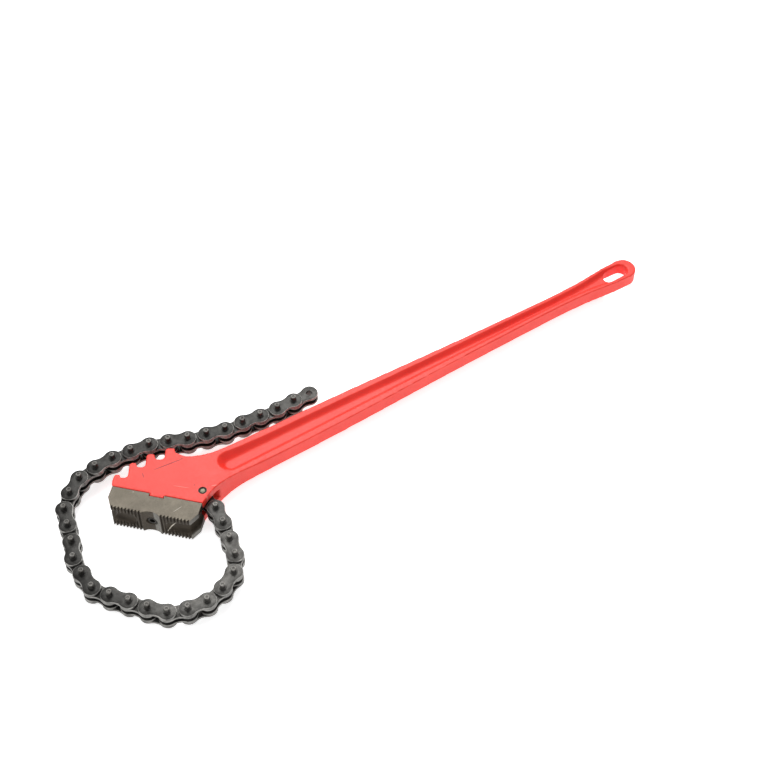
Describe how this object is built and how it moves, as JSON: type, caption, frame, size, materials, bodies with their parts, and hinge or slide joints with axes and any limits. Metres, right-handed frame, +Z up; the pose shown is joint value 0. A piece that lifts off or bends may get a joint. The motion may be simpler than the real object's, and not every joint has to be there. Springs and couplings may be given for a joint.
{
  "type": "chain pipe wrench",
  "caption": "Heavy-duty chain pipe wrench: forged I-beam handle with a hanging eye, forked hooked head, bolted toothed jaw and riveted chain of hinged links.",
  "frame": {"origin": "bottom centre of the whole wrench's box, with the chain as it lies; the head's flat side rests on z = 0", "axes": "+X along the handle from the head to the hanging eye, +Y to the side with the hooks, +Z up, square to the flat of the head and along every chain pin"},
  "size_m": [0.6841, 0.2096, 0.031],
  "materials": {
    "red_paint": "satin red enamel over a forging, with worn edges",
    "jaw_steel": "dull oiled grey-brown tool steel",
    "screw_steel": "black-oxide socket screw",
    "pin_steel": "plain ground pin end",
    "chain_steel": "oiled dark steel with lighter worn edges",
    "chain_plate_steel": "oiled dark steel with lighter worn edges"
  },
  "bodies": {
    "handle_assembly": {"handle": "red_paint", "jaw": "jaw_steel", "jaw_screw": "screw_steel", "chain_anchor_pin": "pin_steel"},
    "inner_link_00": {"inner_link_00": "chain_steel"},
    "outer_link_00": {"outer_link_00": "chain_plate_steel"},
    "inner_link_01": {"inner_link_01": "chain_steel"},
    "outer_link_01": {"outer_link_01": "chain_plate_steel"},
    "inner_link_02": {"inner_link_02": "chain_steel"},
    "outer_link_02": {"outer_link_02": "chain_plate_steel"},
    "inner_link_03": {"inner_link_03": "chain_steel"},
    "outer_link_03": {"outer_link_03": "chain_plate_steel"},
    "inner_link_04": {"inner_link_04": "chain_steel"},
    "outer_link_04": {"outer_link_04": "chain_plate_steel"},
    "inner_link_05": {"inner_link_05": "chain_steel"},
    "outer_link_05": {"outer_link_05": "chain_plate_steel"},
    "inner_link_06": {"inner_link_06": "chain_steel"},
    "outer_link_06": {"outer_link_06": "chain_plate_steel"},
    "inner_link_07": {"inner_link_07": "chain_steel"},
    "outer_link_07": {"outer_link_07": "chain_plate_steel"},
    "inner_link_08": {"inner_link_08": "chain_steel"},
    "outer_link_08": {"outer_link_08": "chain_plate_steel"},
    "inner_link_09": {"inner_link_09": "chain_steel"},
    "outer_link_09": {"outer_link_09": "chain_plate_steel"},
    "inner_link_10": {"inner_link_10": "chain_steel"},
    "outer_link_10": {"outer_link_10": "chain_plate_steel"},
    "inner_link_11": {"inner_link_11": "chain_steel"},
    "outer_link_11": {"outer_link_11": "chain_plate_steel"},
    "inner_link_12": {"inner_link_12": "chain_steel"},
    "outer_link_12": {"outer_link_12": "chain_plate_steel"},
    "inner_link_13": {"inner_link_13": "chain_steel"},
    "outer_link_13": {"outer_link_13": "chain_plate_steel"},
    "inner_link_14": {"inner_link_14": "chain_steel"},
    "outer_link_14": {"outer_link_14": "chain_plate_steel"},
    "inner_link_15": {"inner_link_15": "chain_steel"},
    "outer_link_15": {"outer_link_15": "chain_plate_steel"},
    "inner_link_16": {"inner_link_16": "chain_steel"}
  },
  "joints": [
    {"name": "chain_joint_00", "type": "hinge", "parent": "handle_assembly", "child": "inner_link_00", "pos_m": [-0.19686, 0.00907, 0.0155], "axis": [0, 0, 1], "range_deg": [0, 18]},
    {"name": "chain_joint_01", "type": "hinge", "parent": "inner_link_00", "child": "outer_link_00", "pos_m": [-0.19356, -0.00969, 0.0155], "axis": [0, 0, -1], "range_deg": [-18, 1]},
    {"name": "chain_joint_02", "type": "hinge", "parent": "outer_link_00", "child": "inner_link_01", "pos_m": [-0.19588, -0.0286, 0.0155], "axis": [0, 0, 1], "range_deg": [-1, 18]},
    {"name": "chain_joint_03", "type": "hinge", "parent": "inner_link_01", "child": "outer_link_01", "pos_m": [-0.19918, -0.04736, 0.0155], "axis": [0, 0, -1], "range_deg": [-18, 1]},
    {"name": "chain_joint_04", "type": "hinge", "parent": "outer_link_01", "child": "inner_link_02", "pos_m": [-0.20347, -0.06592, 0.0155], "axis": [0, 0, 1], "range_deg": [-1, 18]},
    {"name": "chain_joint_05", "type": "hinge", "parent": "inner_link_02", "child": "outer_link_02", "pos_m": [-0.21356, -0.08207, 0.0155], "axis": [0, 0, -1], "range_deg": [-45, 1]},
    {"name": "chain_joint_06", "type": "hinge", "parent": "outer_link_02", "child": "inner_link_03", "pos_m": [-0.23023, -0.09131, 0.0155], "axis": [0, 0, 1], "range_deg": [-1, 45]},
    {"name": "chain_joint_07", "type": "hinge", "parent": "inner_link_03", "child": "outer_link_03", "pos_m": [-0.24871, -0.09592, 0.0155], "axis": [0, 0, -1], "range_deg": [-45, 1]},
    {"name": "chain_joint_08", "type": "hinge", "parent": "outer_link_03", "child": "inner_link_04", "pos_m": [-0.26762, -0.0936, 0.0155], "axis": [0, 0, 1], "range_deg": [-1, 45]},
    {"name": "chain_joint_09", "type": "hinge", "parent": "inner_link_04", "child": "outer_link_04", "pos_m": [-0.2854, -0.08677, 0.0155], "axis": [0, 0, -1], "range_deg": [-45, 1]},
    {"name": "chain_joint_10", "type": "hinge", "parent": "outer_link_04", "child": "inner_link_05", "pos_m": [-0.2984, -0.07284, 0.0155], "axis": [0, 0, 1], "range_deg": [-1, 45]},
    {"name": "chain_joint_11", "type": "hinge", "parent": "inner_link_05", "child": "outer_link_05", "pos_m": [-0.30986, -0.05762, 0.0155], "axis": [0, 0, -1], "range_deg": [-45, 1]},
    {"name": "chain_joint_12", "type": "hinge", "parent": "outer_link_05", "child": "inner_link_06", "pos_m": [-0.32159, -0.04261, 0.0155], "axis": [0, 0, 1], "range_deg": [-1, 45]},
    {"name": "chain_joint_13", "type": "hinge", "parent": "inner_link_06", "child": "outer_link_06", "pos_m": [-0.33224, -0.02682, 0.0155], "axis": [0, 0, -1], "range_deg": [-45, 1]},
    {"name": "chain_joint_14", "type": "hinge", "parent": "outer_link_06", "child": "inner_link_07", "pos_m": [-0.33324, -0.00779, 0.0155], "axis": [0, 0, 1], "range_deg": [-1, 45]},
    {"name": "chain_joint_15", "type": "hinge", "parent": "inner_link_07", "child": "outer_link_07", "pos_m": [-0.33291, 0.01125, 0.0155], "axis": [0, 0, -1], "range_deg": [-45, 1]},
    {"name": "chain_joint_16", "type": "hinge", "parent": "outer_link_07", "child": "inner_link_08", "pos_m": [-0.32639, 0.02915, 0.0155], "axis": [0, 0, 1], "range_deg": [-1, 45]},
    {"name": "chain_joint_17", "type": "hinge", "parent": "inner_link_08", "child": "outer_link_08", "pos_m": [-0.32178, 0.04764, 0.0155], "axis": [0, 0, -1], "range_deg": [-45, 1]},
    {"name": "chain_joint_18", "type": "hinge", "parent": "outer_link_08", "child": "inner_link_09", "pos_m": [-0.31685, 0.06604, 0.0155], "axis": [0, 0, 1], "range_deg": [-1, 45]},
    {"name": "chain_joint_19", "type": "hinge", "parent": "inner_link_09", "child": "outer_link_09", "pos_m": [-0.30435, 0.08042, 0.0155], "axis": [0, 0, -1], "range_deg": [-45, 1]},
    {"name": "chain_joint_20", "type": "hinge", "parent": "outer_link_09", "child": "inner_link_10", "pos_m": [-0.28894, 0.09161, 0.0155], "axis": [0, 0, 1], "range_deg": [-1, 45]},
    {"name": "chain_joint_21", "type": "hinge", "parent": "inner_link_10", "child": "outer_link_10", "pos_m": [-0.27018, 0.09492, 0.0155], "axis": [0, 0, -1], "range_deg": [-45, 1]},
    {"name": "chain_joint_22", "type": "hinge", "parent": "outer_link_10", "child": "inner_link_11", "pos_m": [-0.25116, 0.09592, 0.0155], "axis": [0, 0, 1], "range_deg": [-1, 45]},
    {"name": "chain_joint_23", "type": "hinge", "parent": "inner_link_11", "child": "outer_link_11", "pos_m": [-0.23221, 0.09393, 0.0155], "axis": [0, 0, -1], "range_deg": [-45, 1]},
    {"name": "chain_joint_24", "type": "hinge", "parent": "outer_link_11", "child": "inner_link_12", "pos_m": [-0.21335, 0.09128, 0.0155], "axis": [0, 0, 1], "range_deg": [-1, 45]},
    {"name": "chain_joint_25", "type": "hinge", "parent": "inner_link_12", "child": "outer_link_12", "pos_m": [-0.19533, 0.08507, 0.0155], "axis": [0, 0, -1], "range_deg": [-45, 1]},
    {"name": "chain_joint_26", "type": "hinge", "parent": "outer_link_12", "child": "inner_link_13", "pos_m": [-0.17767, 0.07794, 0.0155], "axis": [0, 0, 1], "range_deg": [-1, 45]},
    {"name": "chain_joint_27", "type": "hinge", "parent": "inner_link_13", "child": "outer_link_13", "pos_m": [-0.15936, 0.07269, 0.0155], "axis": [0, 0, -1], "range_deg": [-45, 2]},
    {"name": "chain_joint_28", "type": "hinge", "parent": "outer_link_13", "child": "inner_link_14", "pos_m": [-0.14088, 0.06808, 0.0155], "axis": [0, 0, 1], "range_deg": [-3, 60]},
    {"name": "chain_joint_29", "type": "hinge", "parent": "inner_link_14", "child": "outer_link_14", "pos_m": [-0.1219, 0.06642, 0.0155], "axis": [0, 0, -1], "range_deg": [-60, 4]},
    {"name": "chain_joint_30", "type": "hinge", "parent": "outer_link_14", "child": "inner_link_15", "pos_m": [-0.10299, 0.0641, 0.0155], "axis": [0, 0, 1], "range_deg": [-5, 60]},
    {"name": "chain_joint_31", "type": "hinge", "parent": "inner_link_15", "child": "outer_link_15", "pos_m": [-0.08399, 0.06277, 0.0155], "axis": [0, 0, -1], "range_deg": [-60, 8]},
    {"name": "chain_joint_32", "type": "hinge", "parent": "outer_link_15", "child": "inner_link_16", "pos_m": [-0.06494, 0.0631, 0.0155], "axis": [0, 0, 1], "range_deg": [-15, 60]}
  ]
}
